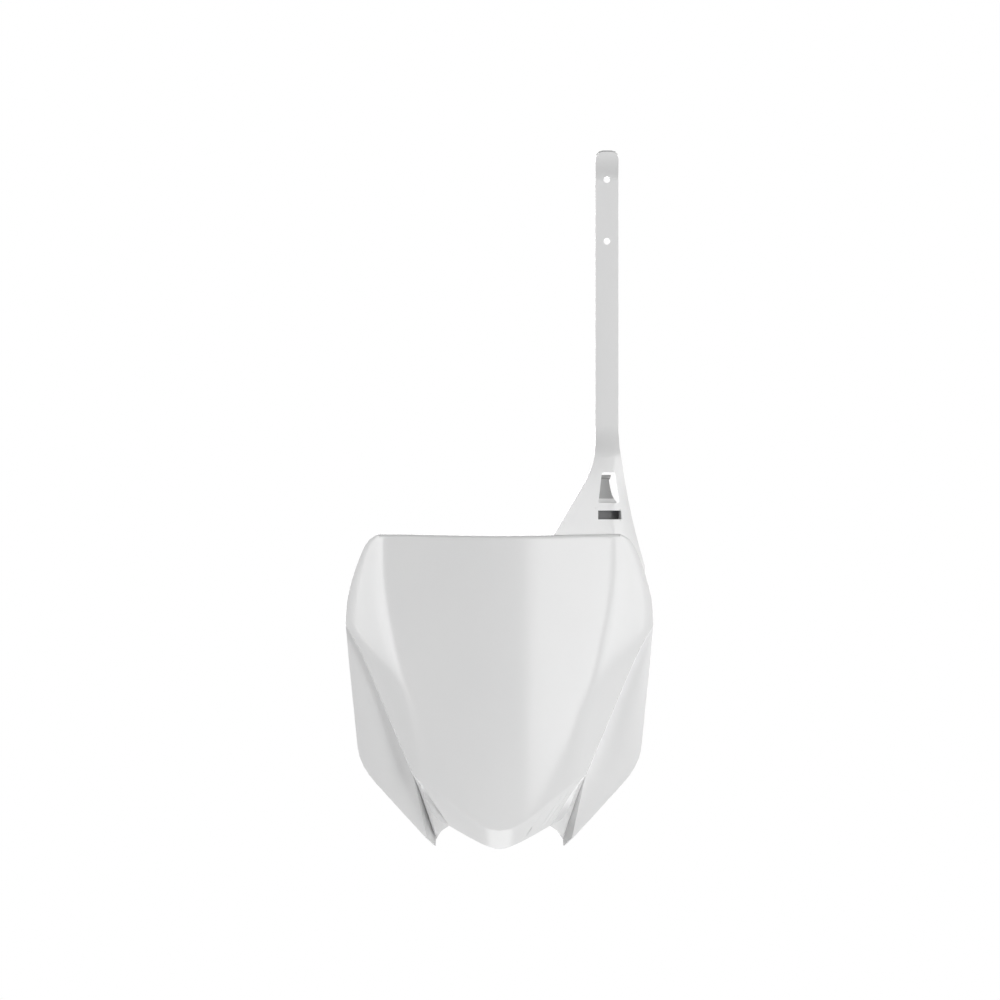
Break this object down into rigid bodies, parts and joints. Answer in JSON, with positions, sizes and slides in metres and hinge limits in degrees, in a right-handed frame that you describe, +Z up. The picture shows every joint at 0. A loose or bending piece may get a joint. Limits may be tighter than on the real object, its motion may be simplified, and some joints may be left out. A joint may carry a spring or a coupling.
{
  "type": "number board",
  "caption": "Curved moulded front number board with a rolled edge, folded lower wings, a chin, rear locating lugs and a tall perforated fixing strap on one side.",
  "frame": {"origin": "midway between the axes of the two lower locating holes, at half their depth", "axes": "+Z up along the strap, -Y the way the board faces, +X to the strap's side"},
  "size_m": [0.2446, 0.0575, 0.5525],
  "materials": {
    "white_plastic": "satin"
  },
  "bodies": {
    "root": {"number_board": "white_plastic"}
  },
  "joints": []
}
